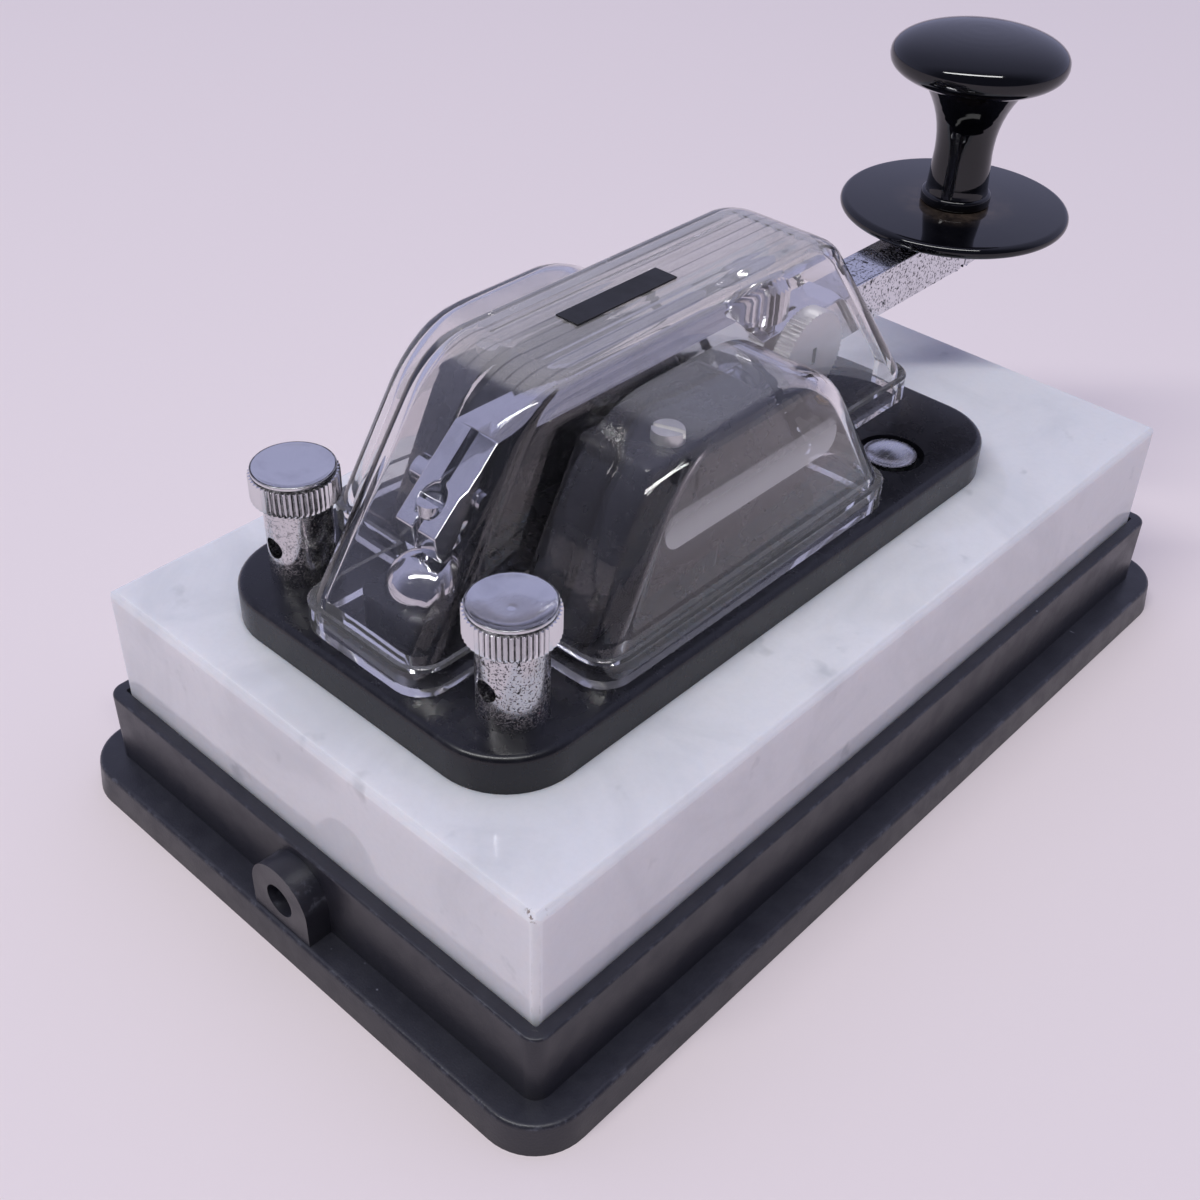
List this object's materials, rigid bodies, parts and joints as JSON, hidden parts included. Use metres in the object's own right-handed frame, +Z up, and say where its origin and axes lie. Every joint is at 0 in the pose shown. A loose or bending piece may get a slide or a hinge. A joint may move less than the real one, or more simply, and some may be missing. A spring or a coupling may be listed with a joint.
{
  "type": "straight telegraph key",
  "caption": "Straight telegraph key on a marble slab in a black tray, with a sprung lever, a finger knob, wire terminals and a clear lift-off dust cover.",
  "frame": {"origin": "centre of the tray's underside, on the surface it stands on", "axes": "+Z up, -Y towards the finger knob, +Y towards the wire terminals"},
  "size_m": [0.1072, 0.1831, 0.1001],
  "materials": {
    "tray_plastic": "satin black moulding",
    "marble": "polished white marble",
    "plate_black": "semi-gloss black moulding",
    "pillar_black": "black enamel",
    "nickel": "bright plate, a little pitted",
    "brass": "plain brass",
    "spring_steel": "drawn wire",
    "knob_black": "gloss black moulding",
    "clear_plastic": "clear moulding, lightly scratched",
    "strip_black": "plain strip"
  },
  "bodies": {
    "base": {"base_tray": "tray_plastic", "marble_slab": "marble", "stone_anchors": "brass", "key_plate": "plate_black", "plate_screws": "nickel", "terminal_posts": "nickel", "terminal_nuts": "brass", "contact_strap": "brass", "pivot_strap": "brass", "frame_bed": "plate_black", "pivot_pillar_left": "pillar_black", "pivot_pillar_right": "pillar_black", "pillar_screws": "nickel", "pivot_screw_left": "nickel", "pivot_screw_right": "nickel", "pillar_lock_screws": "nickel", "back_stop_dome": "nickel", "lower_contact": "brass", "contact_nut": "brass", "spring_cup": "nickel", "return_spring": "spring_steel"},
    "lever": {"lever_bar": "nickel", "upper_contact": "brass", "gap_clamp_screw": "nickel", "spring_cap": "nickel", "knob_boss": "knob_black", "knob_skirt": "knob_black", "knob": "knob_black", "knob_screw": "nickel"},
    "gap_adjuster": {"gap_screw": "nickel"},
    "tension_adjuster": {"tension_screw": "nickel"},
    "lever_clamp": {"clamp_wheel": "nickel"},
    "head_left": {"terminal_head_left": "nickel"},
    "head_right": {"terminal_head_right": "nickel"},
    "cover": {"dust_cover": "clear_plastic", "cover_label": "strip_black"}
  },
  "joints": [
    {"name": "lever_press", "type": "hinge", "parent": "base", "child": "lever", "pos_m": [0, 0.0255, 0.0659], "axis": [1, 0, 0], "range_deg": [0, 0.46], "stiffness_Nm_per_rad": 1.5, "springref_deg": -6.88, "deforming": ["return_spring"]},
    {"name": "gap_turn", "type": "hinge", "parent": "lever", "child": "gap_adjuster", "pos_m": [0, 0.0533, 0.062], "axis": [0, 0, 1], "continuous": true},
    {"name": "tension_turn", "type": "hinge", "parent": "lever", "child": "tension_adjuster", "pos_m": [0, -0.0158, 0.066], "axis": [0, 0, 1], "continuous": true},
    {"name": "clamp_turn", "type": "hinge", "parent": "lever", "child": "lever_clamp", "pos_m": [0, -0.021, 0.06155], "axis": [-1, 0, 0], "continuous": true},
    {"name": "head_left_turn", "type": "hinge", "parent": "base", "child": "head_left", "pos_m": [0.022, 0.0602, 0.06], "axis": [0, 0, 1], "continuous": true},
    {"name": "head_right_turn", "type": "hinge", "parent": "base", "child": "head_right", "pos_m": [-0.022, 0.0602, 0.06], "axis": [0, 0, 1], "continuous": true},
    {"name": "cover_lift", "type": "slide", "parent": "base", "child": "cover", "axis": [0, 0, 1], "range_m": [0, 0.06]}
  ]
}
